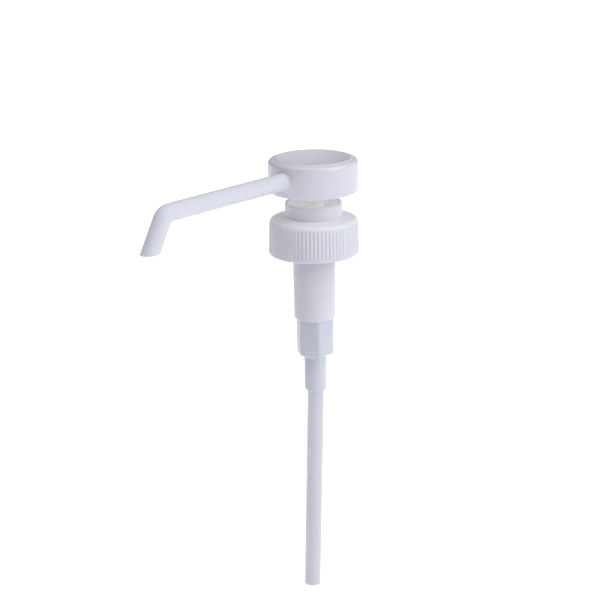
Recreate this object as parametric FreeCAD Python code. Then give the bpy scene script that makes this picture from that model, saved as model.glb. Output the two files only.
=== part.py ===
import FreeCAD, Part
import math
import os

# Condiment pump for a 38-400 screw neck, in millimetres.
# The origin is the centre of the neck gasket's underside, where the bottle's mouth seals.
# +Z runs up the pump's axis, and the spout leaves the head towards -Y.

V = FreeCAD.Vector
up = V(0, 0, 1)

# fits
running_gap = 0.06        # radial gap of parts that turn or slide in each other
lift_gap = 0.03           # gap between a ball and its seat

# closure and bottle finish
closure_top_r = 21.3
closure_foot_r = 21.75
closure_foot_z = -10.3
closure_shoulder_z = 5.6
closure_shoulder_r = 1.3  # rounding between wall and deck
deck_rim_z = 6.5
deck_neck_z = 7.85
roof_under_z = 5.0
finish_root_r = 19.0      # bore of the closure, the thread's root
finish_crest_r = 17.85
thread_pitch = 4.233      # six threads to the inch
thread_turns = 1.15
thread_start_z = -8.0
thread_half_root = 1.15   # half the ridge's height at the wall
thread_half_crest = 0.45
thread_sink = 0.3         # how far the ridge's base lies inside the wall
rib_count = 72
rib_groove_r = 0.72
rib_groove_depth = 0.42
rib_foot_z = -8.7

# clamped stack under the closure's roof
gasket_thick = 1.6
gasket_bore_r = 10.8
gasket_r = 17.4
flange_thick = 1.8
flange_r = 16.9
flange_top_z = gasket_thick + flange_thick

# neck ring
neck_r = 13.8
neck_wall = 2.0
neck_top_z = 14.7
neck_floor_z = 5.6
neck_flange_r = 16.8
neck_flange_top_z = roof_under_z - running_gap
sleeve_wall = 1.5
sleeve_foot_z = -3.0
snap_wall = 1.2
seal_thick = 1.2          # stem seal under the sleeve
seal_lip_thick = 0.9

# housing
barrel_r = 10.35
barrel_foot_r = 10.05
barrel_foot_z = -43.4
barrel_taper_z = -10.0    # the taper starts here
seat_bore_r = 9.4         # upper bore that takes the stem seal
chamber_r = 8.9
seal_step_z = -4.2
vent_r = 0.6
vent_z = -9.0

# stem, rod and piston
stem_r = 4.75
stem_top_z = 24.0
stem_foot_z = -5.5
stem_bore_r = 2.6
rod_r = 3.4
rod_bore_r = 1.5
rod_top_z = -1.5
rod_flange_r = 6.9
rod_flange_z = -14.0
rod_flange_thick = 1.4
rod_foot_z = -19.5

# piston cup
cup_lip_r = chamber_r - 0.05
cup_slack = 0.05          # gap to the rod and its flange
cup_hub_r = 6.2
cup_waist_r = 8.0
cup_lip_root_r = 7.4      # outer side of the pocket behind a lip
cup_lip_thick = 0.5
cup_pocket_depth = 3.0
cup_land = 1.0            # height of a lip's straight rim
cup_waist_start = 2.6

# outlet valve
outlet_ball_r = 2.5
outlet_seat_depth = 1.2
outlet_lift = 1.8
cage_height = 2.2
cage_wall = 0.8
cage_bar_half = 0.6

# inlet valve body
hex_apothem_top = 8.45
hex_apothem_foot = 8.25
hex_corner_r = 2.3
hex_turn = -36.0          # direction of one corner, degrees from +X
hex_foot_z = -61.8
ledge_z = -50.0
plug_top_z = -39.0
plug_bore_r = 7.2
ball_bore_r = 5.2
inlet_ball_r = 4.0
inlet_throat_r = 2.5
inlet_seat_z = -57.0
tube_stop_z = -63.5
socket_r = 5.5
socket_foot_r = 5.35
socket_foot_z = -81.0
hex_foot_edge_r = 0.6
cone_top_r = 6.4
cone_height = 1.8         # from the grip's foot to the socket
groove_start = 1.6        # seal groove above the housing's foot
groove_height = 1.5
groove_depth = 1.0
seal_wire_r = 0.5
inlet_cage_height = 2.6
inlet_cage_bar_half = 0.7
inlet_cage_bar_height = 1.4

# dip tube
dip_r = 4.1
dip_bore_r = 3.0
dip_bow_r = 450.0
dip_bow_start_z = -80.0
dip_bow_length = 12.0
dip_end_length = 97.0
dip_bow_side = -138.0     # direction of the bow, degrees from +X

# head and spout
head_r = 21.45
head_wall = 1.8
head_foot_z = 20.2
head_top_z = 35.7
head_edge_r = 2.2
head_foot_edge_r = 0.7
dish_r = 18.2
dish_depth = 2.8
boss_r = 7.4
boss_foot_z = 17.5
spout_r = 4.1
spout_bore_r = 3.0
spout_z = 28.1
spout_root = 14.5         # distance of the spout's inner end from the axis
spout_reach = 96.8        # distance of the bend from the axis
spout_drop_angle = 59.7   # degrees below level after the bend
bend_r = 5.2              # radius of the bend at the tube's middle
outlet_z = 12.3
channel_r = 2.2
channel_z = 29.0
channel_wall = 1.2
socket_wall = 1.3
plenum_r = 3.2
plenum_top_z = 30.6
web_count = 6
web_thick = 1.2
web_foot_z = 30.5

# return spring
spring_wire_r = 0.5
spring_r = 6.2
spring_coils = 9
spring_foot_z = ledge_z + inlet_cage_height


def rounded_edges(points):
    """Edges of a closed outline of (x, z, corner radius) points, round where asked."""
    corners = []
    count = len(points)
    for i, (x, z, radius) in enumerate(points):
        here = V(x, 0, z)
        if radius == 0:
            corners.append((here, None, here))
            continue
        before = V(points[i - 1][0], 0, points[i - 1][1]) - here
        after = V(points[(i + 1) % count][0], 0, points[(i + 1) % count][1]) - here
        before.normalize()
        after.normalize()
        half = before.getAngle(after) / 2
        middle = before + after
        middle.normalize()
        centre = here + middle * (radius / math.sin(half))
        reach = radius / math.tan(half)
        corners.append((here + before * reach, centre - middle * radius, here + after * reach))
    edges = []
    for i, (start, through, end) in enumerate(corners):
        if through is not None:
            edges.append(Part.Arc(start, through, end).toShape())
        following = corners[(i + 1) % count][0]
        if end.distanceToPoint(following) > 1e-6:
            edges.append(Part.LineSegment(end, following).toShape())
    return edges


def turned(points):
    """Solid of revolution about Z of a closed outline of (radius, z, corner radius) points."""
    outline = Part.Wire(rounded_edges(points))
    return Part.Face(outline).revolve(V(0, 0, 0), up, 360)


def ring(inner, outer, low, high, edge=0.0):
    return turned([(inner, low, edge), (outer, low, edge), (outer, high, edge), (inner, high, edge)])


def rod(start, direction, radius, length):
    return Part.makeCylinder(radius, length, start, direction)


def place_round(shape, index, count):
    """The shape turned about Z to its place in a ring of equal steps."""
    copy = shape.copy()
    copy.rotate(V(0, 0, 0), up, 360.0 * index / count)
    return copy


def bar(half_length, half_width, low, high):
    """Bar across the axis along X."""
    corner = V(-half_length, -half_width, low)
    return Part.makeBox(2 * half_length, 2 * half_width, high - low, corner)


def cross(half_length, half_width, low, high):
    """Two bars at right angles."""
    first = bar(half_length, half_width, low, high)
    return first.fuse(place_round(first, 1, 4))


def bent_rod(radius, root):
    """Level rod from the root, round the bend, and on down past the outlet."""
    angle = math.radians(spout_drop_angle)
    level = V(0, -1, 0)
    downward = V(0, -math.cos(angle), -math.sin(angle))
    corner = V(0, -spout_reach, spout_z)
    reach = bend_r * math.tan(angle / 2)
    drop = (spout_z - outlet_z) / math.sin(angle) + 2 * radius
    centre = corner - level * reach - up * bend_r
    halfway = centre + V(0, -math.sin(angle / 2), math.cos(angle / 2)) * bend_r
    start = V(0, -root, spout_z)
    bend_start = corner - level * reach
    bend_end = corner + downward * reach
    path = Part.Wire([Part.LineSegment(start, bend_start).toShape(),
                      Part.Arc(bend_start, halfway, bend_end).toShape(),
                      Part.LineSegment(bend_end, corner + downward * drop).toShape()])
    section = Part.Wire(Part.makeCircle(radius, start, level))
    return path.makePipeShell([section], True, False)


def make_spout_tube():
    outside = bent_rod(spout_r, spout_root)
    inside = bent_rod(spout_bore_r, spout_root - 1)
    below = Part.makeBox(60, 200, 40, V(-30, -200, outlet_z - 40))
    return outside.cut(inside).cut(below).removeSplitter()


def dish_sphere(extra=0.0):
    """Ball whose lowest part hollows the head's top, larger by the roof's thickness below it."""
    radius = (dish_r ** 2 + dish_depth ** 2) / (2 * dish_depth)
    centre = V(0, 0, head_top_z - dish_depth + radius)
    return Part.makeSphere(radius + extra, centre)


def make_actuator_head():
    outside = turned([(0, head_foot_z, 0), (head_r, head_foot_z, head_foot_edge_r),
                      (head_r, head_top_z, head_edge_r), (0, head_top_z, 0)])
    outside = outside.cut(dish_sphere())
    inner_r = head_r - head_wall
    hollow = turned([(0, head_foot_z - 1, 0), (inner_r, head_foot_z - 1, 0),
                     (inner_r, head_top_z - head_wall, head_edge_r - 1), (0, head_top_z - head_wall, 0)])
    hollow = hollow.cut(dish_sphere(head_wall))
    shell = outside.cut(hollow)

    roof_low = head_top_z - dish_depth - head_wall / 2
    boss = Part.makeCylinder(boss_r, roof_low - boss_foot_z, V(0, 0, boss_foot_z))
    outward = V(0, -1, 0)
    pipe = rod(V(0, 0, channel_z), outward, channel_r + channel_wall, spout_root + 1)
    holder = rod(V(0, -spout_root, spout_z), outward, spout_r + socket_wall, inner_r - spout_root + 0.5)
    web_start = V(boss_r - 1, -web_thick / 2, web_foot_z)
    web = Part.makeBox(inner_r - boss_r + 1.5, web_thick, head_top_z - web_foot_z, web_start)
    webs = []
    for i in range(web_count):
        turned_web = place_round(web, i + 0.5, web_count)
        webs.append(turned_web.common(hollow_and_roof(inner_r)))
    body = shell.fuse([boss, pipe, holder] + webs)

    stem_bore = Part.makeCylinder(stem_r, stem_top_z - boss_foot_z + 1, V(0, 0, boss_foot_z - 1))
    plenum = Part.makeCylinder(plenum_r, plenum_top_z - stem_top_z, V(0, 0, stem_top_z))
    channel = rod(V(0, 0, channel_z), outward, channel_r, spout_root + 1)
    socket = rod(V(0, -spout_root, spout_z), outward, spout_r, head_r)
    return body.cut([stem_bore, plenum, channel, socket]).removeSplitter()


def hollow_and_roof(inner_r):
    """Room inside the head's wall and below the middle of its roof."""
    room = Part.makeCylinder(inner_r + 0.5, head_top_z - head_foot_z - 2, V(0, 0, head_foot_z))
    return room.cut(dish_sphere(head_wall / 2))


def rib_grooves():
    """Round-ended grooves cut down the closure's tapered wall, leaving the ribs."""
    slope = math.atan2(closure_foot_r - closure_top_r, closure_shoulder_z - closure_foot_z)
    foot_r = closure_foot_r - (rib_foot_z - closure_foot_z) * math.tan(slope)
    start = V(foot_r - rib_groove_depth + rib_groove_r, 0, rib_foot_z)
    direction = V(-math.sin(slope), 0, math.cos(slope))
    length = deck_neck_z - rib_foot_z + 1
    groove = rod(start, direction, rib_groove_r, length).fuse(Part.makeSphere(rib_groove_r, start))
    return [place_round(groove, i, rib_count) for i in range(rib_count)]


def thread_ridge():
    """Internal thread of the closure, with blunt ends sunk in the wall."""
    helix = Part.makeHelix(thread_pitch, thread_pitch * thread_turns, finish_root_r)
    sunk = finish_root_r + thread_sink
    profile = Part.makePolygon([V(sunk, 0, -thread_half_root), V(finish_crest_r, 0, -thread_half_crest),
                                V(finish_crest_r, 0, thread_half_crest), V(sunk, 0, thread_half_root),
                                V(sunk, 0, -thread_half_root)])
    ridge = Part.Wire(helix.Edges).makePipeShell([profile], True, True)
    ridge.translate(V(0, 0, thread_start_z))
    return ridge


def make_collar():
    bore_r = neck_r + running_gap
    body = turned([(bore_r, roof_under_z, 0), (finish_root_r, roof_under_z, 0.6),
                   (finish_root_r, closure_foot_z, 0.5), (closure_foot_r, closure_foot_z, 0.6),
                   (closure_top_r, deck_rim_z, closure_shoulder_r), (bore_r, deck_neck_z, 0)])
    body = body.cut(rib_grooves())
    return body.fuse(thread_ridge())


def make_neck_gasket():
    return ring(gasket_bore_r, gasket_r, 0, gasket_thick)


def make_neck_ring():
    guide_r = stem_r + running_gap
    inner_r = neck_r - neck_wall
    floor_low = flange_top_z
    return turned([(guide_r, sleeve_foot_z, 0), (guide_r + sleeve_wall, sleeve_foot_z, 0.3),
                   (guide_r + sleeve_wall, floor_low, 0), (seat_bore_r - snap_wall, floor_low, 0),
                   (seat_bore_r - snap_wall, sleeve_foot_z, 0.3), (seat_bore_r, sleeve_foot_z, 0.3),
                   (seat_bore_r, floor_low, 0), (neck_flange_r, floor_low, 0),
                   (neck_flange_r, neck_flange_top_z, 0.3), (neck_r, neck_flange_top_z, 0),
                   (neck_r, neck_top_z, 0.9), (inner_r, neck_top_z, 0.5),
                   (inner_r, neck_floor_z, 0.5), (guide_r, neck_floor_z, 0.4)])


def make_stem_seal():
    lip_r = stem_r + running_gap / 2
    foot_z = sleeve_foot_z - seal_thick
    return turned([(lip_r, sleeve_foot_z - seal_lip_thick, 0), (lip_r + seal_lip_thick, foot_z, 0),
                   (seat_bore_r, foot_z, 0), (seat_bore_r, sleeve_foot_z, 0),
                   (lip_r, sleeve_foot_z, 0)])


def make_housing():
    barrel = turned([(chamber_r, barrel_foot_z, 0.2), (barrel_foot_r, barrel_foot_z, 0.9),
                     (barrel_r, barrel_taper_z, 0), (barrel_r, gasket_thick, 0),
                     (flange_r, gasket_thick, 0.3), (flange_r, flange_top_z, 0.3),
                     (seat_bore_r, flange_top_z, 0), (seat_bore_r, seal_step_z, 0),
                     (chamber_r, seal_step_z, 0)])
    vent = rod(V(0, 0, vent_z), V(0, 1, 0), vent_r, barrel_r + 1)
    return barrel.cut(vent)


def make_stem():
    rod_socket_top = outlet_ball_centre() + outlet_ball_r + outlet_lift + cage_height
    return turned([(stem_bore_r, stem_top_z, 0), (stem_r, stem_top_z, 0.4),
                   (stem_r, stem_foot_z, 0.3), (rod_r, stem_foot_z, 0),
                   (rod_r, rod_socket_top, 0), (stem_bore_r, rod_socket_top, 0)])


def outlet_ball_centre():
    """Height of the outlet ball's centre at rest on its 45 degree seat."""
    apex = rod_top_z - outlet_seat_depth - rod_bore_r
    return apex + outlet_ball_r * math.sqrt(2) + lift_gap


def make_outlet_ball():
    return Part.makeSphere(outlet_ball_r, V(0, 0, outlet_ball_centre()))


def make_outlet_cage():
    low = outlet_ball_centre() + outlet_ball_r + outlet_lift
    high = low + cage_height
    inner_r = rod_r - cage_wall
    bars = cross(inner_r + cage_wall / 2, cage_bar_half, low, high)
    return ring(inner_r, rod_r, low, high).fuse(bars).removeSplitter()


def make_piston_rod():
    flange_foot_z = rod_flange_z - rod_flange_thick
    return turned([(rod_bore_r, rod_foot_z, 0.2), (rod_r, rod_foot_z, 0.5),
                   (rod_r, flange_foot_z, 0), (rod_flange_r, flange_foot_z, 0.3),
                   (rod_flange_r, rod_flange_z, 0.3), (rod_r, rod_flange_z, 0),
                   (rod_r, rod_top_z, 0), (rod_bore_r + outlet_seat_depth, rod_top_z, 0),
                   (rod_bore_r, rod_top_z - outlet_seat_depth, 0)])


def make_piston_cup():
    """Sleeve on the rod with a thin sealing lip at each end."""
    bore_r = rod_r + cup_slack
    foot = rod_flange_z + cup_slack
    top = stem_foot_z - cup_slack
    foot_pocket = foot + cup_pocket_depth
    top_pocket = top - cup_pocket_depth
    lip_inner_r = cup_lip_r - cup_lip_thick
    return turned([(bore_r, foot, 0), (cup_hub_r, foot, 0), (cup_hub_r, foot_pocket, 0.4),
                   (cup_lip_root_r, foot_pocket, 0.4), (lip_inner_r, foot, 0), (cup_lip_r, foot, 0),
                   (cup_lip_r, foot + cup_land, 0), (cup_waist_r, foot + cup_waist_start, 0),
                   (cup_waist_r, top - cup_waist_start, 0), (cup_lip_r, top - cup_land, 0),
                   (cup_lip_r, top, 0), (lip_inner_r, top, 0), (cup_lip_root_r, top_pocket, 0.4),
                   (cup_hub_r, top_pocket, 0.4), (cup_hub_r, top, 0), (bore_r, top, 0)])


def make_return_spring():
    """Compression spring with flat ground ends."""
    top_z = rod_flange_z - rod_flange_thick - lift_gap
    height = top_z - spring_foot_z
    helix = Part.makeHelix(height / spring_coils, height, spring_r)
    profile = Part.Wire(Part.makeCircle(spring_wire_r, V(spring_r, 0, 0), V(0, 1, 0)))
    coil = Part.Wire(helix.Edges).makePipeShell([profile], True, True)
    coil.translate(V(0, 0, spring_foot_z))
    room = Part.makeCylinder(spring_r + 2, height, V(0, 0, spring_foot_z))
    return coil.common(room)


def rounded_hexagon(apothem, z):
    """Hexagon outline with round corners, one corner towards hex_turn."""
    straight = apothem - hex_corner_r
    edges = []
    for i in range(6):
        corner = hex_turn + 60.0 * i
        towards = V(math.cos(math.radians(corner)), math.sin(math.radians(corner)), 0)
        centre = towards * (straight / math.cos(math.radians(30)))
        centre.z = z
        ends = []
        for turn in (-30, 0, 30):
            angle = math.radians(corner + turn)
            ends.append(centre + V(math.cos(angle), math.sin(angle), 0) * hex_corner_r)
        edges.append(Part.Arc(ends[0], ends[1], ends[2]).toShape())
        after = math.radians(corner + 30)
        following = math.radians(corner + 60)
        next_centre = V(math.cos(following), math.sin(following), 0) * (straight / math.cos(math.radians(30)))
        next_start = next_centre + V(math.cos(after), math.sin(after), 0) * hex_corner_r
        next_start.z = z
        edges.append(Part.LineSegment(ends[2], next_start).toShape())
    return Part.Wire(edges)


def make_valve_body():
    top = rounded_hexagon(hex_apothem_top, barrel_foot_z)
    foot = rounded_hexagon(hex_apothem_foot, hex_foot_z)
    grip = Part.makeLoft([top, foot], True, True)
    foot_edges = [e for e in grip.Edges if e.BoundBox.ZMax < hex_foot_z + 0.01]
    grip = grip.makeFillet(hex_foot_edge_r, foot_edges)
    inside_z = hex_foot_z + 2
    groove_z = barrel_foot_z + groove_start
    groove_r = chamber_r - groove_depth
    plug = turned([(0, inside_z, 0), (cone_top_r, inside_z, 0), (cone_top_r, barrel_foot_z, 0),
                   (chamber_r, barrel_foot_z, 0), (chamber_r, groove_z, 0), (groove_r, groove_z, 0),
                   (groove_r, groove_z + groove_height, 0), (chamber_r, groove_z + groove_height, 0),
                   (chamber_r, plug_top_z, 0.4), (0, plug_top_z, 0)])
    socket = turned([(0, inside_z, 0), (cone_top_r, inside_z, 0), (cone_top_r, hex_foot_z - 0.3, 0.3),
                     (socket_r, hex_foot_z - cone_height, 0.6), (socket_foot_r, socket_foot_z, 0.9),
                     (0, socket_foot_z, 0)])
    throat_z = inlet_seat_z - (ball_bore_r - inlet_throat_r)
    passage = turned([(0, socket_foot_z - 1, 0), (dip_r, socket_foot_z - 1, 0), (dip_r, tube_stop_z, 0),
                      (inlet_throat_r, tube_stop_z, 0), (inlet_throat_r, throat_z, 0),
                      (ball_bore_r, inlet_seat_z, 0), (ball_bore_r, ledge_z, 0), (plug_bore_r, ledge_z, 0),
                      (plug_bore_r, plug_top_z + 1, 0), (0, plug_top_z + 1, 0)])
    return grip.fuse([plug, socket]).cut(passage).removeSplitter()


def make_body_seal():
    groove_middle_z = barrel_foot_z + groove_start + groove_height / 2
    return Part.makeTorus(chamber_r - seal_wire_r, seal_wire_r, V(0, 0, groove_middle_z))


def make_ball_cage():
    plate = ring(ball_bore_r - 0.4, plug_bore_r, ledge_z, spring_foot_z, 0.2)
    bars = cross(ball_bore_r, inlet_cage_bar_half, ledge_z, ledge_z + inlet_cage_bar_height)
    return plate.fuse(bars).removeSplitter()


def inlet_ball_centre():
    """Height of the inlet ball's centre at rest on its 45 degree seat."""
    throat_z = inlet_seat_z - (ball_bore_r - inlet_throat_r)
    return throat_z - inlet_throat_r + inlet_ball_r * math.sqrt(2) + lift_gap


def make_inlet_ball():
    return Part.makeSphere(inlet_ball_r, V(0, 0, inlet_ball_centre()))


def bow_path(radius):
    """Straight in its socket, then a short bow and a long straight end."""
    side = V(math.cos(math.radians(dip_bow_side)), math.sin(math.radians(dip_bow_side)), 0)
    turn = dip_bow_length / dip_bow_r

    def on_bow(angle):
        return (V(0, 0, dip_bow_start_z) + side * (dip_bow_r * (1 - math.cos(angle)))
                - up * (dip_bow_r * math.sin(angle)))

    start = V(0, 0, tube_stop_z)
    bow_end = on_bow(turn)
    end_direction = side * math.sin(turn) - up * math.cos(turn)
    path = Part.Wire([Part.LineSegment(start, on_bow(0)).toShape(),
                      Part.Arc(on_bow(0), on_bow(turn / 2), bow_end).toShape(),
                      Part.LineSegment(bow_end, bow_end + end_direction * dip_end_length).toShape()])
    section = Part.Wire(Part.makeCircle(radius, start, up))
    return path.makePipeShell([section], True, False)


def make_dip_tube():
    return bow_path(dip_r).cut(bow_path(dip_bore_r))


makers = {
    "actuator_head": make_actuator_head,
    "spout_tube": make_spout_tube,
    "stem": make_stem,
    "outlet_cage": make_outlet_cage,
    "outlet_ball": make_outlet_ball,
    "piston_rod": make_piston_rod,
    "piston_cup": make_piston_cup,
    "return_spring": make_return_spring,
    "neck_ring": make_neck_ring,
    "stem_seal": make_stem_seal,
    "collar": make_collar,
    "neck_gasket": make_neck_gasket,
    "housing": make_housing,
    "body_seal": make_body_seal,
    "valve_body": make_valve_body,
    "ball_cage": make_ball_cage,
    "inlet_ball": make_inlet_ball,
    "dip_tube": make_dip_tube,
}

os.makedirs("parts", exist_ok=True)
for name, maker in makers.items():
    shape = maker()
    solids = shape.Solids
    print(name, "solids", len(solids), "valid", shape.isValid(), "volume", round(shape.Volume, 2))
    if len(solids) == 1:
        shape = solids[0]
    shape.exportStep("parts/" + name + ".step")
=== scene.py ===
import math
import bpy
import bmesh
from mathutils import Matrix, Vector


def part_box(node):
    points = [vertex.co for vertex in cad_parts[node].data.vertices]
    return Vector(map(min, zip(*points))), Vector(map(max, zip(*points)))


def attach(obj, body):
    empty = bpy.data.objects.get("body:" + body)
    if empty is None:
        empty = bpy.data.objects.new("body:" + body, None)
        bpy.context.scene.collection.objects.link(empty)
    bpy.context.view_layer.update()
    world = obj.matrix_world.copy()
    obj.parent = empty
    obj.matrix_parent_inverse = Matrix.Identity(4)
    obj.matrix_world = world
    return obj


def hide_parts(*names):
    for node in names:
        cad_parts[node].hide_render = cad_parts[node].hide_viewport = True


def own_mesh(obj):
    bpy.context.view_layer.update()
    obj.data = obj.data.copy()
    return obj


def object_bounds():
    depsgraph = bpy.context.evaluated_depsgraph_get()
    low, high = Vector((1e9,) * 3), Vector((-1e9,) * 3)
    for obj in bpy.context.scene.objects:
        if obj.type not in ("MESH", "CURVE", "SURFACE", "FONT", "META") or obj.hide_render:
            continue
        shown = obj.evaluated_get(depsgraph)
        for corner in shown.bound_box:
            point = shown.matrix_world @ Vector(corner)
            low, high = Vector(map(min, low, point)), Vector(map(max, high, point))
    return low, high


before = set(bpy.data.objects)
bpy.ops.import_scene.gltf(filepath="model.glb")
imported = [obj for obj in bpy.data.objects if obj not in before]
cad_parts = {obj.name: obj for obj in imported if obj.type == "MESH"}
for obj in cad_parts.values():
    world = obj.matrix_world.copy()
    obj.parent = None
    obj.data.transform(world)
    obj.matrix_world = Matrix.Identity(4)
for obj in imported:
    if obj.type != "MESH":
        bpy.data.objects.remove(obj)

mm = 0.001
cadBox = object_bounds()
cad = {name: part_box(name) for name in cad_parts}
scene = bpy.context.scene


def low(node, axis=2):
    return cad[node][0][axis] / mm


def high(node, axis=2):
    return cad[node][1][axis] / mm


# camera, light and floor; sizes are in mm and the origin is the bottle's mouth

studio = {
    "orbit": 41.7,           # degrees round the pump from the spout's side
    "height": 17.94,         # degrees above level
    "roll": -0.87,
    "distance": 700,
    "aim": (-7.12, -34.75),  # right of and above the bottle's mouth
    "lens": 86.2,
    # each light: right, towards the camera, up, then strength and width in degrees
    "key": (0.75, 0.40, 0.53, 2.0, 45),
    "top": (-0.05, 0.10, 1.0, 1.7, 80),
    "skyStrength": 0.25,
    "floorColour": "#F4F5F7",
    "floorGlow": 0.36,
    "floorReach": 12000,     # from the middle to each side
    "floorDrop": 130,        # the pump is held up by its neck, so the floor is well below the tube
}


def aimCamera():
    orbit = math.radians(studio["orbit"])
    rise = math.radians(studio["height"])
    roll = math.radians(studio["roll"])
    right = Vector((math.cos(orbit), math.sin(orbit), 0))
    back = Vector((math.sin(orbit) * math.cos(rise), -math.cos(orbit) * math.cos(rise), math.sin(rise)))
    above = back.cross(right)
    aimRight, aimUp = studio["aim"]
    place = (right * aimRight + Vector((0, 0, aimUp)) + back * studio["distance"]) * mm
    rolledRight = right * math.cos(roll) + above * math.sin(roll)
    rolledUp = above * math.cos(roll) - right * math.sin(roll)
    camera = bpy.data.objects.new("camera", bpy.data.cameras.new("camera"))
    camera.data.lens = studio["lens"]
    camera.data.clip_start = 10 * mm
    turn = Matrix((rolledRight, rolledUp, back)).transposed().to_4x4()
    camera.matrix_world = Matrix.Translation(place) @ turn
    scene.collection.objects.link(camera)
    scene.camera = camera
    return right, Vector((back.x, back.y, 0)).normalized()


def hangLight(name, right, towardsCamera):
    fromRight, fromFront, fromUp, strength, softness = studio[name]
    direction = (right * fromRight + towardsCamera * fromFront + Vector((0, 0, fromUp))).normalized()
    light = bpy.data.objects.new(name, bpy.data.lights.new(name, "SUN"))
    light.data.energy = strength
    light.data.angle = math.radians(softness)
    light.rotation_euler = direction.to_track_quat("Z", "Y").to_euler()
    scene.collection.objects.link(light)


cameraRight, towardsCamera = aimCamera()
for lightName in ("key", "top"):
    hangLight(lightName, cameraRight, towardsCamera)
scene.view_settings.view_transform = "Standard"
print("camera and light are in place")


# small helpers for nodes and meshes

def toLinear(hexColour):
    parts = [int(hexColour[i:i + 2], 16) / 255 for i in (1, 3, 5)]
    return [p / 12.92 if p <= 0.04045 else ((p + 0.055) / 1.055) ** 2.4 for p in parts] + [1.0]


def addNode(tree, kind, settings=None, inputs=None):
    node = tree.nodes.new(kind)
    for name, value in (settings or {}).items():
        setattr(node, name, value)
    for name, value in (inputs or {}).items():
        if isinstance(value, bpy.types.NodeSocket):
            tree.links.new(value, node.inputs[name])
        else:
            node.inputs[name].default_value = value
    return node


def newMaterial(name):
    material = bpy.data.materials.new(name)
    material.use_nodes = True
    tree = material.node_tree
    shader = tree.nodes["Principled BSDF"].inputs
    place = addNode(tree, "ShaderNodeTexCoord").outputs["Object"]
    return material, tree, shader, place


def rampStops(ramp, stops):
    elements = ramp.color_ramp.elements
    for element, (position, hexColour) in zip(elements, stops):
        element.position = position
        element.color = toLinear(hexColour)


def buildMesh(bm, name, sharpAngle=32):
    bmesh.ops.remove_doubles(bm, verts=bm.verts[:], dist=1e-7)
    bmesh.ops.recalc_face_normals(bm, faces=bm.faces[:])
    mesh = bpy.data.meshes.new(name)
    bm.to_mesh(mesh)
    bm.free()
    for face in mesh.polygons:
        face.use_smooth = True
    mesh.set_sharp_from_angle(angle=math.radians(sharpAngle))
    piece = bpy.data.objects.new(name, mesh)
    scene.collection.objects.link(piece)
    return piece


def roundedOutline(bm, corners):
    # corners are (radius, height, rounding), and the outline is closed
    verts = [bm.verts.new((r * mm, 0, z * mm)) for r, z, rounding in corners]
    for i, vert in enumerate(verts):
        bm.edges.new((verts[i - 1], vert))
    for vert, (r, z, rounding) in zip(verts, corners):
        if rounding:
            bmesh.ops.bevel(bm, geom=[vert], offset=rounding * mm, offset_type="OFFSET", segments=7,
                            profile=0.5, affect="VERTICES", material=-1)


def spinRound(bm, steps):
    bmesh.ops.spin(bm, geom=bm.verts[:] + bm.edges[:], cent=(0, 0, 0), axis=(0, 0, 1), dvec=(0, 0, 0),
                   angle=2 * math.pi, steps=steps, use_merge=True, use_duplicate=False)
    bmesh.ops.remove_doubles(bm, verts=bm.verts[:], dist=1e-6)


def turnedPiece(name, corners, steps=160, sharpAngle=32):
    bm = bmesh.new()
    roundedOutline(bm, corners)
    spinRound(bm, steps)
    return buildMesh(bm, name, sharpAngle)


def combine(piece, other, operation, sharpAngle=32):
    # joins the other solid to the piece, or cuts it away, and drops the other one
    step = piece.modifiers.new("combine", "BOOLEAN")
    step.operation = operation
    step.object = other
    step.solver = "EXACT"
    bpy.context.view_layer.update()
    shape = bpy.data.meshes.new_from_object(piece.evaluated_get(bpy.context.evaluated_depsgraph_get()))
    piece.modifiers.clear()
    piece.data = shape
    bpy.data.objects.remove(other)
    for face in shape.polygons:
        face.use_smooth = True
    shape.set_sharp_from_angle(angle=math.radians(sharpAngle))


def finishPiece(piece, material, body, node):
    piece.data.materials.clear()
    piece.data.materials.append(material)
    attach(piece, body)
    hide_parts(node)


def stationAt(place, direction):
    # frame whose Z runs along the tube
    return Matrix.Translation(place * mm) @ direction.to_track_quat("Z", "Y").to_matrix().to_4x4()


def growLoop(bm, edges):
    # extrudes a loop where it stands, and gives the new verts and edges
    grown = bmesh.ops.extrude_edge_only(bm, edges=edges)["geom"]
    verts = [g for g in grown if isinstance(g, bmesh.types.BMVert)]
    fresh = set(verts)
    return verts, [g for g in grown if isinstance(g, bmesh.types.BMEdge) and fresh.issuperset(g.verts)]


def sweepWall(bm, radius, stations, sides):
    loop = bmesh.ops.create_circle(bm, cap_ends=False, segments=sides, radius=radius * mm,
                                   matrix=stations[0])["verts"]
    edges = list({e for v in loop for e in v.link_edges})
    for before, after in zip(stations, stations[1:]):
        verts, edges = growLoop(bm, edges)
        bmesh.ops.transform(bm, matrix=after @ before.inverted(), verts=verts)


def closeTubeEnd(bm, near, reach):
    # joins the bore to the outside at the open end within reach of a point
    rims = [e for e in bm.edges if e.is_boundary
            and all((v.co - near).length < reach * mm for v in e.verts)]
    bmesh.ops.bridge_loops(bm, edges=rims)


def softenRims(bm, width, angle=55):
    rims = [e for e in bm.edges if len(e.link_faces) == 2 and e.calc_face_angle(0) > math.radians(angle)]
    bmesh.ops.bevel(bm, geom=rims, offset=width * mm, offset_type="OFFSET", segments=3, profile=0.5,
                    affect="EDGES", clamp_overlap=True, material=-1)


# materials: each plastic has its colour and a shade of it

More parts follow.
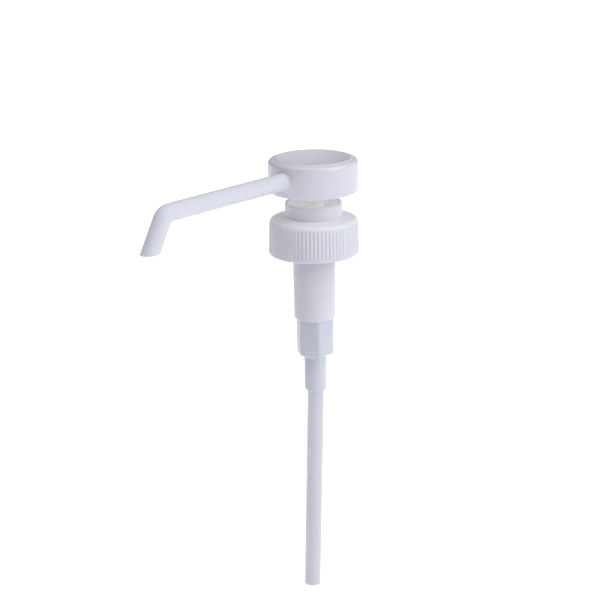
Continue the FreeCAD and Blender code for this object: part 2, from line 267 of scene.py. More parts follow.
plastic = {
    "white": ("#C2C2CC", "#BDBDC8"),
    "spoutWhite": ("#C3C4CE", "#BEBFCA"),
    "natural": ("#BABDC8", "#B1B5C1"),
    "stem": ("#CFD0C2", "#C5C6B8"),
    "tube": ("#A3A4AC", "#9FA0A8"),
    "soft": ("#E4E4DC", "#D9D9D0"),
    "cloudSize": 14,         # slow change of shade in a moulding
    "skinGrain": 0.8,        # orange peel left by the polished mould
    "scuffSize": 2.2,        # rubbed patches
    "dieLine": 0.25,         # between the lines of an extrusion, drawn coarse enough to show
    "dieLineLength": 30,
    "skinDepth": 0.02,       # of the peel and of the die lines
    "lightDepth": 0.9,       # how far light travels inside before it comes out again
    "lightRadius": (1.0, 1.0, 1.1),
    "daylight": "#DCDCDA",   # colour of a painted glow that stands in for light seen through a thin wall
    # colour of the painted glow on the dip tube, standing in for light through its wall
    "tubeDaylight": "#DCDCE2",
}

smallParts = {
    "foam": ("#E6E8EA", "#D2D4D6"),
    "foamCell": 0.6,
    "foamCellDepth": 0.1,
    "steel": ("#CDCED0", "#B9BABC"),
    "wireGrain": (0.1, 0.1, 2.0),
    "ballGrain": (1.5, 1.5, 1.5),
    "rubber": ("#2E2E30", "#1A1A1B"),
    "rubberDust": 1.5,
}


def plasticBody(shader, ior, specular, subsurface):
    # light goes a little way in, so edges look soft
    shader["IOR"].default_value = ior
    shader["Specular IOR Level"].default_value = specular
    shader["Subsurface Weight"].default_value = subsurface
    shader["Subsurface Radius"].default_value = plastic["lightRadius"]
    shader["Subsurface Scale"].default_value = plastic["lightDepth"] * mm


def mouldedPolypropylene(name, tone, roughness, subsurface=0.3, specular=0.35):
    # injection-moulded polypropylene: even colour, soft broad gloss, a faint peel and rubbed patches
    material, tree, shader, place = newMaterial(name)
    colour, shade = plastic[tone]
    clouds = addNode(tree, "ShaderNodeTexNoise", {},
                     {"Vector": place, "Scale": 1 / (plastic["cloudSize"] * mm), "Detail": 3.0})
    tint = addNode(tree, "ShaderNodeValToRGB", {}, {"Fac": clouds.outputs["Fac"]})
    rampStops(tint, [(0.3, shade), (0.7, colour)])
    tree.links.new(tint.outputs["Color"], shader["Base Color"])
    scuffs = addNode(tree, "ShaderNodeTexNoise", {},
                     {"Vector": place, "Scale": 1 / (plastic["scuffSize"] * mm), "Detail": 2.0})
    gloss = addNode(tree, "ShaderNodeMapRange", {},
                    {"Value": scuffs.outputs["Fac"], "From Min": 0.3, "From Max": 0.75,
                     "To Min": roughness - 0.02, "To Max": roughness + 0.06})
    tree.links.new(gloss.outputs["Result"], shader["Roughness"])
    peel = addNode(tree, "ShaderNodeTexNoise", {},
                   {"Vector": place, "Scale": 1 / (plastic["skinGrain"] * mm), "Detail": 2.0})
    bump = addNode(tree, "ShaderNodeBump", {},
                   {"Height": peel.outputs["Fac"], "Strength": 0.10, "Distance": plastic["skinDepth"] * mm})
    tree.links.new(bump.outputs["Normal"], shader["Normal"])
    plasticBody(shader, 1.49, specular, subsurface)
    return material


def extrudedPolyethylene(name, tone, roughness, along):
    # extruded tube: waxy, with fine lines drawn along one axis by the die
    material, tree, shader, place = newMaterial(name)
    colour, shade = plastic[tone]
    stretch = [1 / (plastic["dieLine"] * mm)] * 3
    stretch[along] = 1 / (plastic["dieLineLength"] * mm)
    drawn = addNode(tree, "ShaderNodeMapping", {}, {"Vector": place, "Scale": stretch})
    lines = addNode(tree, "ShaderNodeTexNoise", {},
                    {"Vector": drawn.outputs["Vector"], "Scale": 1.0, "Detail": 3.0})
    clouds = addNode(tree, "ShaderNodeTexNoise", {},
                     {"Vector": place, "Scale": 1 / (plastic["cloudSize"] * mm), "Detail": 2.0})
    both = addNode(tree, "ShaderNodeMath", {"operation": "ADD"},
                   {0: clouds.outputs["Fac"], 1: lines.outputs["Fac"]})
    half = addNode(tree, "ShaderNodeMath", {"operation": "MULTIPLY"}, {0: both.outputs["Value"], 1: 0.5})
    tint = addNode(tree, "ShaderNodeValToRGB", {}, {"Fac": half.outputs["Value"]})
    rampStops(tint, [(0.35, shade), (0.65, colour)])
    tree.links.new(tint.outputs["Color"], shader["Base Color"])
    gloss = addNode(tree, "ShaderNodeMapRange", {},
                    {"Value": lines.outputs["Fac"], "From Min": 0.3, "From Max": 0.7,
                     "To Min": roughness - 0.06, "To Max": roughness + 0.08})
    tree.links.new(gloss.outputs["Result"], shader["Roughness"])
    bump = addNode(tree, "ShaderNodeBump", {},
                   {"Height": lines.outputs["Fac"], "Strength": 0.2, "Distance": plastic["skinDepth"] * mm})
    tree.links.new(bump.outputs["Normal"], shader["Normal"])
    plasticBody(shader, 1.51, 0.25, 0.5)
    return material


def foamedPolyethylene():
    # closed-cell foam sheet: matt, with a skin of small cells
    material, tree, shader, place = newMaterial("foamedPolyethylene")
    colour, shade = smallParts["foam"]
    cells = addNode(tree, "ShaderNodeTexVoronoi", {"feature": "F1"},
                    {"Vector": place, "Scale": 1 / (smallParts["foamCell"] * mm)})
    tint = addNode(tree, "ShaderNodeValToRGB", {}, {"Fac": cells.outputs["Distance"]})
    rampStops(tint, [(0.0, shade), (0.6, colour)])
    tree.links.new(tint.outputs["Color"], shader["Base Color"])
    bump = addNode(tree, "ShaderNodeBump", {"invert": True},
                   {"Height": cells.outputs["Distance"], "Strength": 0.5,
                    "Distance": smallParts["foamCellDepth"] * mm})
    tree.links.new(bump.outputs["Normal"], shader["Normal"])
    shader["Roughness"].default_value = 0.85
    return material


def stainlessSteel(name, roughness, grain):
    # stainless steel: streaks along a drawn wire, or the soft mottle of a polished ball
    material, tree, shader, place = newMaterial(name)
    colour, shade = smallParts["steel"]
    stretch = [1 / (size * mm) for size in grain]
    drawn = addNode(tree, "ShaderNodeMapping", {}, {"Vector": place, "Scale": stretch})
    streaks = addNode(tree, "ShaderNodeTexNoise", {},
                      {"Vector": drawn.outputs["Vector"], "Scale": 1.0, "Detail": 4.0})
    gloss = addNode(tree, "ShaderNodeMapRange", {},
                    {"Value": streaks.outputs["Fac"], "To Min": roughness - 0.05, "To Max": roughness + 0.12})
    tree.links.new(gloss.outputs["Result"], shader["Roughness"])
    tint = addNode(tree, "ShaderNodeValToRGB", {}, {"Fac": streaks.outputs["Fac"]})
    rampStops(tint, [(0.3, shade), (0.7, colour)])
    tree.links.new(tint.outputs["Color"], shader["Base Color"])
    shader["Metallic"].default_value = 1.0
    return material


def nitrileRubber():
    # black moulded rubber: matt, with dusty lighter patches
    material, tree, shader, place = newMaterial("nitrileRubber")
    colour, shade = smallParts["rubber"]
    dust = addNode(tree, "ShaderNodeTexNoise", {},
                   {"Vector": place, "Scale": 1 / (smallParts["rubberDust"] * mm), "Detail": 5.0})
    tint = addNode(tree, "ShaderNodeValToRGB", {}, {"Fac": dust.outputs["Fac"]})
    rampStops(tint, [(0.35, shade), (0.75, colour)])
    tree.links.new(tint.outputs["Color"], shader["Base Color"])
    shader["Roughness"].default_value = 0.6
    return material


# painted light: one even glow over the whole material, though the part is no lamp
def evenGlow(material, hexColour, strength):
    shader = material.node_tree.nodes["Principled BSDF"].inputs
    shader["Emission Color"].default_value = toLinear(hexColour)
    shader["Emission Strength"].default_value = strength


def growingGlow(material, measure, start, end, weak, strong):
    # painted light: a glow from weak to strong between two heights, or between two distances from the pump's
    # axis
    evenGlow(material, plastic["daylight"], weak)
    tree = material.node_tree
    place = addNode(tree, "ShaderNodeTexCoord").outputs["Object"]
    if measure == "height":
        reading = addNode(tree, "ShaderNodeSeparateXYZ", {}, {"Vector": place}).outputs["Z"]
    else:
        level = addNode(tree, "ShaderNodeVectorMath", {"operation": "MULTIPLY"}, {0: place, 1: (1, 1, 0)})
        reading = addNode(tree, "ShaderNodeVectorMath", {"operation": "LENGTH"},
                          {0: level.outputs["Vector"]}).outputs["Value"]
    glow = addNode(tree, "ShaderNodeMapRange", {"interpolation_type": "SMOOTHSTEP"},
                   {"Value": reading, "From Min": start * mm, "From Max": end * mm,
                    "To Min": weak, "To Max": strong})
    tree.links.new(glow.outputs["Result"], tree.nodes["Principled BSDF"].inputs["Emission Strength"])


whiteHead = mouldedPolypropylene("mouldedWhitePolypropyleneHead", "white", 0.31, specular=0.6)
whiteClosure = mouldedPolypropylene("mouldedWhitePolypropyleneClosure", "white", 0.32)
whiteRing = mouldedPolypropylene("mouldedWhitePolypropyleneRing", "white", 0.32)
whiteBarrel = mouldedPolypropylene("mouldedWhitePolypropyleneBarrel", "white", 0.34)
whiteSpout = extrudedPolyethylene("extrudedWhitePolypropyleneTube", "spoutWhite", 0.34, along=1)
naturalValve = mouldedPolypropylene("mouldedNaturalPolypropyleneValve", "natural", 0.32)
naturalStem = mouldedPolypropylene("mouldedNaturalPolypropyleneStem", "stem", 0.34, subsurface=0.5)
naturalTube = extrudedPolyethylene("extrudedNaturalPolyethyleneTube", "tube", 0.38, along=2)
softSeal = mouldedPolypropylene("mouldedSoftPolyethylene", "soft", 0.45)
foam = foamedPolyethylene()
wireSteel = stainlessSteel("drawnStainlessWire", 0.28, smallParts["wireGrain"])
ballSteel = stainlessSteel("polishedStainlessBall", 0.10, smallParts["ballGrain"])
sealRubber = nitrileRubber()

# painted light: thin walls let daylight in from behind, and a weak glow stands in for it; on the closure's
# deck, the neck ring's rim and the stem it also lifts the shade under the head
growingGlow(whiteClosure, "height", 4.6, 7.2, 0, 0.30)
growingGlow(whiteRing, "radius", 13.79, 13.45, 0.10, 0.42)
evenGlow(naturalStem, plastic["daylight"], 0.40)
evenGlow(naturalTube, plastic["tubeDaylight"], 0.24)
print("materials are made")


# push head: dished top, hollow underside, boss for the stem and socket for the spout

head = {
    "wall": 1.8,
    "rimRound": 2.2,
    "foot": 20.2,
    "footRound": 0.7,
    "footInnerRound": 0.25,
    "hollowDrop": 0.3,       # the hollow's corner is this much lower than the wall asks
    "hollowRound": 1.2,
    "hollowRadii": (17.2, 15.0, 12.5, 10.0),
    "dishRadius": 17.4,
    "dishDepth": 2.6,
    "dishRows": 14,
    "beadTop": 0.4,          # the bead round the dish stands this far above the CAD head
    "beadRise": 0.5,         # and this far above its own shoulder
    "beadOut": 18.2,
    "beadFoot": 18.8,
    "beadRound": 0.5,
    "beadFootRound": 0.3,
    "bossRadius": 7.4,
    "bossFoot": 17.5,
    "bossRound": 0.4,
    "stemRadius": 4.75,
    "stemStop": 24.0,
    "flowRadius": 3.2,       # open space over the stem
    "flowTop": 30.6,
    "channelHeight": 29.0,
    "channelRadius": 2.2,
    "channelWall": 1.2,
    "channelStart": 5.5,
    "spoutHeight": 28.1,
    "spoutRadius": 4.1,
    "spoutRoot": 14.5,
    "socketWall": 1.3,
    "socketSink": 0.6,       # how far the socket runs into the shell's wall
    "socketCutEnd": 30,      # outside the shell
    "channelOver": 0.5,      # how far the channel's wall and its bore run past the spout's root
    "channelBoreOver": 1.0,
    "fillet": 1.1,
    "filletSink": 0.08,      # how far the blend lies inside the wall and the tube's hole
    "filletBury": 0.6,
    "filletRings": 9,
    "webCount": 6,
    "webThick": 1.2,
    "webTall": 3.0,
    "webMiddle": 32.0,
}


def dishHeight(radius, drop=0.0):
    ball = (head["dishRadius"] ** 2 + head["dishDepth"] ** 2) / (2 * head["dishDepth"]) + drop
    centre = high("actuator_head") + head["beadTop"] - head["dishDepth"] + ball - drop
    return centre - math.sqrt(ball ** 2 - radius ** 2)


def levelRod(name, radius, height, start, end, sides=64):
    # round bar that runs from start to end towards the spout, or away from it when they are negative
    bm = bmesh.new()
    turn = Matrix.Rotation(math.pi / 2, 4, "X")
    place = Matrix.Translation((0, -(start + end) / 2 * mm, height * mm)) @ turn
    bmesh.ops.create_cone(bm, cap_ends=True, cap_tris=False, segments=sides, radius1=radius * mm,
                          radius2=radius * mm, depth=(end - start) * mm, matrix=place)
    return buildMesh(bm, name)


def spoutFillet(outer):
    # concave ring that blends the spout's hole into the round wall, sunk a little in both
    bm = bmesh.new()
    loop = bmesh.ops.create_circle(bm, cap_ends=False, segments=96, radius=1.0)["verts"]
    edges = list({e for v in loop for e in v.link_edges})
    bands = [loop]
    for ring in range(head["filletRings"]):
        verts, edges = growLoop(bm, edges)
        bands.append(verts)
    fillet = head["fillet"]
    sink = head["filletSink"]
    hole = head["spoutRadius"]
    buried = hole - head["filletBury"]
    curve = [(buried, -head["filletBury"]), (hole + fillet, -head["filletBury"])]
    steps = head["filletRings"] - 3
    for i in range(steps + 1):
        angle = math.radians(90) * i / steps
        curve.append((hole - sink + fillet * (1 - math.sin(angle)), fillet * (1 - math.cos(angle)) - sink))
    curve.append((buried, fillet - sink))
    for verts, (radius, stand) in zip(bands, curve):
        for vert in verts:
            turn = math.atan2(vert.co.y, vert.co.x)
            x = radius * math.cos(turn)
            z = head["spoutHeight"] + radius * math.sin(turn)
            vert.co = Vector((x, -math.sqrt(outer ** 2 - x ** 2) - stand, z)) * mm
    bmesh.ops.bridge_loops(bm, edges=[e for e in bm.edges if e.is_boundary])
    return buildMesh(bm, "spoutFillet")


def headOutline(outer, inner):
    top = high("actuator_head") + head["beadTop"]
    shoulder = top - head["beadRise"]
    dishRadii = [head["dishRadius"] * i / head["dishRows"] for i in range(head["dishRows"])]
    outline = [(radius, dishHeight(radius), 0) for radius in dishRadii]
    outline += [(head["dishRadius"], top, head["beadRound"]), (head["beadOut"], top, head["beadRound"]),
                (head["beadFoot"], shoulder, head["beadFootRound"]), (outer, shoulder, head["rimRound"]),
                (outer, head["foot"], head["footRound"]), (inner, head["foot"], head["footInnerRound"]),
                (inner, top - head["wall"] - head["hollowDrop"], head["hollowRound"])]
    outline += [(radius, dishHeight(radius, head["wall"]), 0) for radius in head["hollowRadii"]]
    outline += [(head["bossRadius"], dishHeight(head["bossRadius"], head["wall"]), 0.5),
                (head["bossRadius"], head["bossFoot"], head["bossRound"]),
                (head["stemRadius"], head["bossFoot"], 0.3), (head["stemRadius"], head["stemStop"], 0),
                (head["flowRadius"], head["stemStop"], 0), (head["flowRadius"], head["flowTop"], 0),
                (0, head["flowTop"], 0)]
    return outline


def headWeb(number, inner):
    turn = Matrix.Rotation(2 * math.pi * (number + 0.5) / head["webCount"], 4, "Z")
    place = Matrix.Translation(((inner + head["bossRadius"]) / 2 * mm, 0, head["webMiddle"] * mm))
    # each end runs half a millimetre into the wall and the boss
    size = Vector((inner - head["bossRadius"] + 1, head["webThick"], head["webTall"])) * mm
    bm = bmesh.new()
    bmesh.ops.create_cube(bm, size=1.0, matrix=turn @ place @ Matrix.Diagonal(size).to_4x4())
    return buildMesh(bm, "web")


def makeHead():
    outer = high("actuator_head", 0)
    inner = outer - head["wall"]
    root = head["spoutRoot"]
    socket = head["spoutRadius"] + head["socketWall"]
    channel = head["channelRadius"] + head["channelWall"]
    piece = turnedPiece("actuatorHead", headOutline(outer, inner), 192)
    spoutHeight = head["spoutHeight"]
    channelHeight = head["channelHeight"]
    added = [levelRod("socketWall", socket, spoutHeight, root, inner + head["socketSink"]),
             levelRod("channelWall", channel, channelHeight, head["channelStart"], root + head["channelOver"])]
    added += [headWeb(number, inner) for number in range(head["webCount"])]
    added.append(spoutFillet(outer))
    for part in added:
        combine(piece, part, "UNION")
    cuts = [levelRod("channelBore", head["channelRadius"], channelHeight, 0, root + head["channelBoreOver"]),
            levelRod("socketBore", head["spoutRadius"], spoutHeight, root, head["socketCutEnd"])]
    for part in cuts:
        combine(piece, part, "DIFFERENCE")
    finishPiece(piece, whiteHead, "head", "actuator_head")


makeHead()
print("head is made")


# spout: one tube, bent down and cut level

spout = {
    "radius": 4.1,
    "bore": 3.0,
    "height": 28.1,
    "root": 14.5,
    "reach": 96.8,           # from the pump's axis to where the two straights would meet
    "bend": 5.2,
    "bendSteps": 14,
    "drop": 59.7,            # degrees that the bend turns down
    "tipLength": 26,         # of the leg before it is cut
    "rimRound": 0.12,
}


def bendStations():
    angle = math.radians(spout["drop"])
    tangent = spout["bend"] * math.tan(angle / 2)
    centre = Vector((0, -(spout["reach"] - tangent), spout["height"] - spout["bend"]))
    level = Vector((0, -1, 0))
    stations = [stationAt(Vector((0, -spout["root"], spout["height"])), level)]
    for i in range(spout["bendSteps"] + 1):
        turn = Matrix.Rotation(angle * i / spout["bendSteps"], 4, "X")
        place = centre + turn @ Vector((0, 0, spout["bend"]))
        stations.append(Matrix.Translation(place * mm) @ turn @ stationAt(Vector(), level))
    tip = Vector((0, -math.cos(angle), -math.sin(angle))) * spout["tipLength"] * mm
    stations.append(Matrix.Translation(tip) @ stations[-1])
    return stations


def makeSpout():
    bm = bmesh.new()
    stations = bendStations()
    for radius in (spout["radius"], spout["bore"]):
        sweepWall(bm, radius, stations, 72)
    outlet = low("spout_tube")
    bmesh.ops.bisect_plane(bm, geom=bm.verts[:] + bm.edges[:] + bm.faces[:], dist=1e-7,
                           plane_co=(0, 0, outlet * mm), plane_no=(0, 0, 1), clear_inner=True,
                           clear_outer=False)
    # the cut end is an oval, whose middle is about 5 mm in from its tip
    outletMiddle = Vector((0, low("spout_tube", 1) + 5, outlet)) * mm
    for end in (stations[0].translation, outletMiddle):
        closeTubeEnd(bm, end, 14)
    softenRims(bm, spout["rimRound"])
    finishPiece(buildMesh(bm, "spoutTube"), whiteSpout, "head", "spout_tube")


makeSpout()
print("spout is made")


# screw closure: conical deck, ribbed wall, threaded bore

closure = {
    "wallTop": 21.3,
    "wallFoot": 21.75,
    "wallRows": 20,
    "footRound": 0.6,
    "footRise": 1.0,         # height over the foot where the even rows of the wall start
    "shoulder": 2.0,
    "deckRim": 6.5,
    "deckNeck": 7.85,
    "roofUnder": 5.0,
    "bore": 13.86,
    "threadRoot": 19.0,
    "threadCrest": 17.85,
    "threadHalfRoot": 1.15,
    "threadHalfCrest": 0.45,
    "threadSink": 0.3,
    "threadStart": -8.0,
    "threadSteps": 110,
    "pitch": 4.233,
    "turns": 1.15,
    "ribs": 72,
    "stepsPerRib": 10,
    "ribDepth": 0.30,
    "ribFoot": -8.9,
    "ribRise": 0.7,          # height over which a groove deepens from its foot
    "ribFade": 88,           # degrees of the shoulder over which it runs out
}


def cutRibs(bm):
    turnRadius = closure["wallTop"] - closure["shoulder"]
    turnHeight = closure["deckRim"] - closure["shoulder"]
    for vert in bm.verts:
        x, y, z = vert.co / mm
        radius = math.hypot(x, y)
        if radius < turnRadius or z < closure["ribFoot"]:
            continue
        # the grooves follow the rounded shoulder and come to a point near the deck
        lean = max(math.atan2(z - turnHeight, radius - turnRadius), 0)
        wave = 0.5 - 0.5 * math.cos(math.atan2(y, x) * closure["ribs"])
        rise = min((z - closure["ribFoot"]) / closure["ribRise"], 1)
        share = max(1 - wave ** 1.5 - lean / math.radians(closure["ribFade"]), 0)
        depth = closure["ribDepth"] * share * math.sqrt(rise)
        shrink = 1 - depth * math.cos(lean) / radius
        vert.co = Vector((x * shrink, y * shrink, z - depth * math.sin(lean))) * mm


def closureOutline(foot):
    outline = [(closure["bore"], closure["roofUnder"], 0), (closure["threadRoot"], closure["roofUnder"], 0.6),
               (closure["threadRoot"], foot, 0.5), (closure["wallFoot"], foot, closure["footRound"])]
    slope = (closure["wallTop"] - closure["wallFoot"]) / (closure["deckRim"] - foot)
    firstRow = foot + closure["footRise"]
    lastRow = closure["deckRim"] - closure["shoulder"] - 0.2
    for i in range(closure["wallRows"] + 1):
        z = firstRow + (lastRow - firstRow) * i / closure["wallRows"]
        outline.append((closure["wallFoot"] + slope * (z - foot), z, 0))
    outline += [(closure["wallTop"], closure["deckRim"], closure["shoulder"]),
                (closure["bore"], closure["deckNeck"], 0)]
    return outline


def threadRidge():
    # a trapezoid turned up the bore as a screw, blunt at both ends
    bm = bmesh.new()
    sunk = closure["threadRoot"] + closure["threadSink"]
    crest = closure["threadCrest"]
    section = [(sunk, -closure["threadHalfRoot"]), (crest, -closure["threadHalfCrest"]),
               (crest, closure["threadHalfCrest"]), (sunk, closure["threadHalfRoot"])]
    verts = [bm.verts.new((r * mm, 0, (z + closure["threadStart"]) * mm)) for r, z in section]
    face = bm.faces.new(verts)
    steps = closure["threadSteps"]
    climb = closure["pitch"] * closure["turns"] / steps * mm
    bmesh.ops.spin(bm, geom=[face] + face.edges[:] + verts, cent=(0, 0, 0), axis=(0, 0, 1),
                   dvec=(0, 0, climb), angle=2 * math.pi * closure["turns"], steps=steps, use_merge=False,
                   use_duplicate=False)
    return buildMesh(bm, "threadRidge")


def makeClosure():
    bm = bmesh.new()
    roundedOutline(bm, closureOutline(low("collar")))
    spinRound(bm, closure["ribs"] * closure["stepsPerRib"])
    cutRibs(bm)
    piece = buildMesh(bm, "ribbedClosure", 40)
    combine(piece, threadRidge(), "UNION", 40)
    finishPiece(piece, whiteClosure, "closure", "collar")


makeClosure()
print("closure is made")


# neck ring: standing wall round a recess, a flange under the closure, a sleeve and a snap ring below

neckRing = {
    "wall": 13.8,
    "topRound": 0.9,
    "recess": 11.8,
    "recessFloor": 5.6,
    "flange": 16.8,
    "flangeTop": 4.94,
    "under": 3.4,
    "guide": 4.81,           # bore that the stem runs in
    "sleeve": 6.31,
    "snap": (8.2, 9.4),      # inside and outside of the snap ring
    "edge": 0.3,
}


def makeNeckRing():
    top = high("neck_ring")
    foot = low("neck_ring")
    under = neckRing["under"]
    edge = neckRing["edge"]
    snapIn, snapOut = neckRing["snap"]
    outline = [(neckRing["guide"], foot, 0), (neckRing["sleeve"], foot, edge), (neckRing["sleeve"], under, 0),
               (snapIn, under, 0), (snapIn, foot, edge), (snapOut, foot, edge), (snapOut, under, 0),
               (neckRing["flange"], under, 0), (neckRing["flange"], neckRing["flangeTop"], edge),
               (neckRing["wall"], neckRing["flangeTop"], 0), (neckRing["wall"], top, neckRing["topRound"]),
               (neckRing["recess"], top, 0.5), (neckRing["recess"], neckRing["recessFloor"], 0.5),
               (neckRing["guide"], neckRing["recessFloor"], 0.4)]
    finishPiece(turnedPiece("neckRing", outline), whiteRing, "pump_body", "neck_ring")


# stem: a tube with a wider socket at its foot for the piston rod

stem = {"radius": 4.75, "bore": 2.6, "socket": 3.4, "socketTop": 5.87}


def makeStem():
    top = high("stem")
    foot = low("stem")
    outline = [(stem["bore"], top, 0.2), (stem["radius"], top, 0.4), (stem["radius"], foot, 0.3),
               (stem["socket"], foot, 0), (stem["socket"], stem["socketTop"], 0),
               (stem["bore"], stem["socketTop"], 0)]
    finishPiece(turnedPiece("stemTube", outline, 96), naturalStem, "head", "stem")


# housing: the pump's cylinder, a little tapered, hung by its flange

housing = {
    "barrelTop": 10.35,
    "barrelFoot": 10.05,
    "taperStart": -10.0,
    "footRound": 0.9,
    "bore": 8.9,
    "sealBore": 9.4,         # upper bore that takes the stem seal
    "sealSeat": -4.2,
    "flange": 16.9,
    "flangeUnder": 1.6,
    "flangeRound": 0.3,
    "vent": (0.6, -9.0),     # radius and height of the air hole on the side away from the spout
}


def makeHousing():
    top = high("housing")
    foot = low("housing")
    outline = [(housing["bore"], foot, 0.2), (housing["barrelFoot"], foot, housing["footRound"]),
               (housing["barrelTop"], housing["taperStart"], 0),
               (housing["barrelTop"], housing["flangeUnder"], 0.2),
               (housing["flange"], housing["flangeUnder"], housing["flangeRound"]),
               (housing["flange"], top, housing["flangeRound"]), (housing["sealBore"], top, 0),
               (housing["sealBore"], housing["sealSeat"], 0), (housing["bore"], housing["sealSeat"], 0)]
    piece = turnedPiece("pumpHousing", outline, 144)
    ventRadius, ventHeight = housing["vent"]
    combine(piece, levelRod("vent", ventRadius, ventHeight, -12, -5, 24), "DIFFERENCE")
    finishPiece(piece, whiteBarrel, "pump_body", "housing")


makeNeckRing()
makeStem()
makeHousing()
print("neck ring, stem and housing are made")


# foot valve body: six-sided grip with round corners, plug above and tube socket below

valve = {
    "flatTop": 8.45,         # from the axis to a flat
    "flatFoot": 8.25,
    "cornerRound": 2.3,
    "cornerTurn": -36.0,     # degrees
    "gripFoot": -61.8,
    "gripEdge": 0.6,
    "collarRadius": 6.4,     # between the grip and the socket
    "collarDrop": 1.8,
    "socketTop": 5.5,
    "socketFoot": 5.35,
    "plugRadius": 8.9,
    "plugTop": -39.0,
    "groove": (7.9, -42.3, -40.8),  # radius, foot and top of the seal's groove
    "tubeRadius": 4.1,
    "tubeStop": -63.5,
    "throat": 2.5,
    "seat": (-59.7, -57.0),  # foot and top of the ball's cone
    "ballRoom": 5.2,
    "chamberFoot": -50.0,
    "chamber": 7.2,
}


def valveGrip(gripTop):
    bm = bmesh.new()
    sixth = math.radians(30)
    middle = Matrix.Translation((0, 0, (gripTop + valve["gripFoot"]) / 2 * mm))
    # the first corner of a new cone points along +Y
    turn = Matrix.Rotation(math.radians(valve["cornerTurn"] - 90), 4, "Z")
    bmesh.ops.create_cone(bm, cap_ends=True, cap_tris=False, segments=6,
                          radius1=valve["flatFoot"] / math.cos(sixth) * mm,
                          radius2=valve["flatTop"] / math.cos(sixth) * mm,
                          depth=(gripTop - valve["gripFoot"]) * mm, matrix=middle @ turn)
    upright = [e for e in bm.edges if abs(e.verts[0].co.z - e.verts[1].co.z) > 5 * mm]
    bmesh.ops.bevel(bm, geom=upright, offset=valve["cornerRound"] * math.tan(sixth) * mm,
                    offset_type="OFFSET", segments=8, profile=0.5, affect="EDGES", material=-1)
    rim = [e for e in bm.edges if max(v.co.z for v in e.verts) < (valve["gripFoot"] + 0.01) * mm]
    bmesh.ops.bevel(bm, geom=rim, offset=valve["gripEdge"] * mm, offset_type="OFFSET", segments=6,
                    profile=0.5, affect="EDGES", material=-1)
    return buildMesh(bm, "valveBody", 24)


def makeValveBody():
    gripTop = low("housing")
    foot = low("valve_body")
    piece = valveGrip(gripTop)
    plug = valve["plugRadius"]
    grooveRadius, grooveFoot, grooveTop = valve["groove"]
    outline = [(0, foot, 0), (valve["socketFoot"], foot, 0.9),
               (valve["socketTop"], valve["gripFoot"] - valve["collarDrop"], 0.6),
               (valve["collarRadius"], valve["gripFoot"] - 0.3, 0.3), (valve["collarRadius"], gripTop - 2, 0),
               (plug, gripTop - 0.5, 0), (plug, grooveFoot, 0.1), (grooveRadius, grooveFoot, 0.1),
               (grooveRadius, grooveTop, 0.1), (plug, grooveTop, 0.1), (plug, valve["plugTop"], 0.4),
               (0, valve["plugTop"], 0)]
    combine(piece, turnedPiece("plugAndSocket", outline, 96), "UNION", 24)
    # the cut runs a millimetre past both ends
    seatFoot, seatTop = valve["seat"]
    passage = [(0, foot - 1, 0), (valve["tubeRadius"], foot - 1, 0),
               (valve["tubeRadius"], valve["tubeStop"], 0), (valve["throat"], valve["tubeStop"], 0),
               (valve["throat"], seatFoot, 0),
               (valve["ballRoom"], seatTop, 0), (valve["ballRoom"], valve["chamberFoot"], 0),
               (valve["chamber"], valve["chamberFoot"], 0), (valve["chamber"], valve["plugTop"] + 1, 0),
               (0, valve["plugTop"] + 1, 0)]
    combine(piece, turnedPiece("passage", passage, 96), "DIFFERENCE", 24)
    finishPiece(piece, naturalValve, "pump_body", "valve_body")


makeValveBody()
print("valve body is made")


# dip tube: straight in the socket, a short bow just under it, then straight to the end

dip = {
    "radius": 4.1,
    "bore": 3.0,
    "top": -63.5,
    "bowStart": -80.0,
    "bowRadius": 450.0,
    "bowLength": 12.0,
    "bowSteps": 12,
    "bowSide": -138.0,       # degrees, the side that the tube leans to
    "endLength": 97.0,
    "rimRound": 0.1,
}


def makeDipTube():
    lean = math.radians(dip["bowSide"])
    side = Vector((math.cos(lean), math.sin(lean), 0))
    down = Vector((0, 0, -1))
    hinge = Vector((0, 0, dip["bowStart"])) + side * dip["bowRadius"]
    start = stationAt(Vector((0, 0, dip["bowStart"])), down)
    stations = [stationAt(Vector((0, 0, dip["top"])), down), start]
    bowTurn = dip["bowLength"] / dip["bowRadius"]
    for i in range(1, dip["bowSteps"] + 1):
        turn = Matrix.Rotation(-bowTurn * i / dip["bowSteps"], 4, side.cross(down))
        stations.append(Matrix.Translation(hinge * mm) @ turn @ Matrix.Translation(-hinge * mm) @ start)
    ending = stations[-1].to_3x3() @ Vector((0, 0, dip["endLength"])) * mm
    stations.append(Matrix.Translation(ending) @ stations[-1])
    bm = bmesh.new()
    for radius in (dip["radius"], dip["bore"]):
        sweepWall(bm, radius, stations, 64)
    for end in (stations[0].translation, stations[-1].translation):
        closeTubeEnd(bm, end, 10)
    softenRims(bm, dip["rimRound"])
    finishPiece(buildMesh(bm, "dipTube"), naturalTube, "pump_body", "dip_tube")


makeDipTube()
print("dip tube is made")


# return spring: a closed turn at each end, open coils between

spring = {"radius": 6.2, "wire": 0.5, "coils": 8, "endTurns": 1.0, "stepsPerTurn": 40, "wireSides": 14}


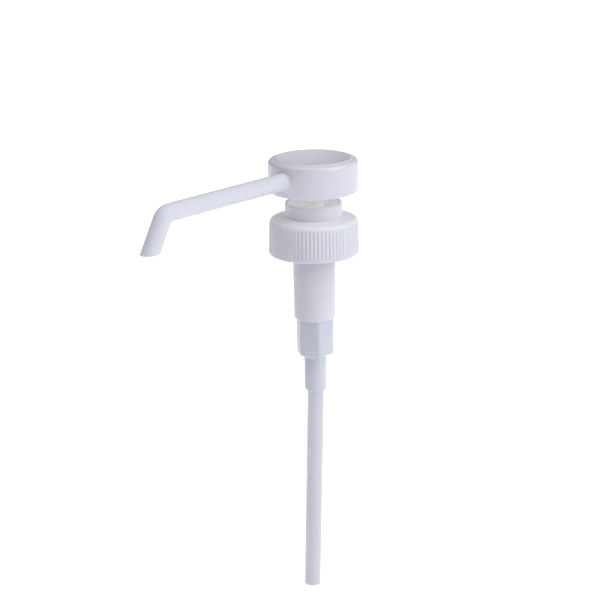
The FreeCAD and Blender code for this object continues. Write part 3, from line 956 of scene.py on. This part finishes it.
def makeSpring():
    bottom = low("return_spring")
    length = high("return_spring") - bottom
    wire = spring["wire"]
    bm = bmesh.new()
    place = Matrix.Translation((spring["radius"] * mm, 0, (bottom + wire) * mm))
    circle = bmesh.ops.create_circle(bm, cap_ends=True, segments=spring["wireSides"], radius=wire * mm,
                                     matrix=place @ Matrix.Rotation(math.pi / 2, 4, "X"))["verts"]
    geom = circle + list({e for v in circle for e in v.link_edges})
    geom += list({f for v in circle for f in v.link_faces})
    closedRise = 2 * wire * spring["endTurns"]
    openRise = length - 2 * wire - 2 * closedRise
    for turns, rise in ((spring["endTurns"], closedRise), (spring["coils"], openRise),
                        (spring["endTurns"], closedRise)):
        steps = round(spring["stepsPerTurn"] * turns)
        geom = bmesh.ops.spin(bm, geom=geom, cent=(0, 0, 0), axis=(0, 0, 1), dvec=(0, 0, rise / steps * mm),
                              angle=2 * math.pi * turns, steps=steps, use_merge=False,
                              use_duplicate=False)["geom_last"]
    piece = buildMesh(bm, "returnSpring")
    finishPiece(piece, wireSteel, "pump_body", "return_spring")
    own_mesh(piece)


makeSpring()
print("spring is made")


# inner parts keep their CAD shape

innerFinish = {
    "outlet_cage": naturalStem, "piston_rod": naturalStem, "piston_cup": softSeal, "stem_seal": softSeal,
    "body_seal": sealRubber, "ball_cage": naturalValve, "neck_gasket": foam,
    "outlet_ball": ballSteel, "inlet_ball": ballSteel,
}
for nodeName, material in innerFinish.items():
    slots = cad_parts[nodeName].data.materials
    if not slots:
        slots.append(material)
    for i in range(len(slots)):
        slots[i] = material
print("inner parts have their finishes")


def layFloor():
    # matt and pale, with a little light of its own so that it stays even
    bm = bmesh.new()
    bmesh.ops.create_grid(bm, x_segments=1, y_segments=1, size=studio["floorReach"] * mm)
    floor = buildMesh(bm, "floor")
    floor.data.transform(Matrix.Translation((0, 0, cadBox[0][2] - studio["floorDrop"] * mm)))
    material, tree, shader, place = newMaterial("paleFloor")
    shader["Base Color"].default_value = toLinear(studio["floorColour"])
    shader["Roughness"].default_value = 0.9
    shader["Specular IOR Level"].default_value = 0.0
    shader["Emission Color"].default_value = (1, 1, 1, 1)
    shader["Emission Strength"].default_value = studio["floorGlow"]
    floor.data.materials.append(material)


def lightSky():
    world = bpy.data.worlds.new("studioSky")
    world.use_nodes = True
    tree = world.node_tree
    sky = tree.nodes["Background"].inputs
    sky["Color"].default_value = (1, 1, 1, 1)
    # past the floor's edge the sky is seen as pale as the floor, but lights no more than it should
    ray = addNode(tree, "ShaderNodeLightPath")
    strength = addNode(tree, "ShaderNodeMapRange", {},
                       {"Value": ray.outputs["Is Camera Ray"], "To Min": studio["skyStrength"],
                        "To Max": 1.0})
    tree.links.new(strength.outputs["Result"], sky["Strength"])
    scene.world = world


layFloor()
lightSky()
print("floor and sky are set")
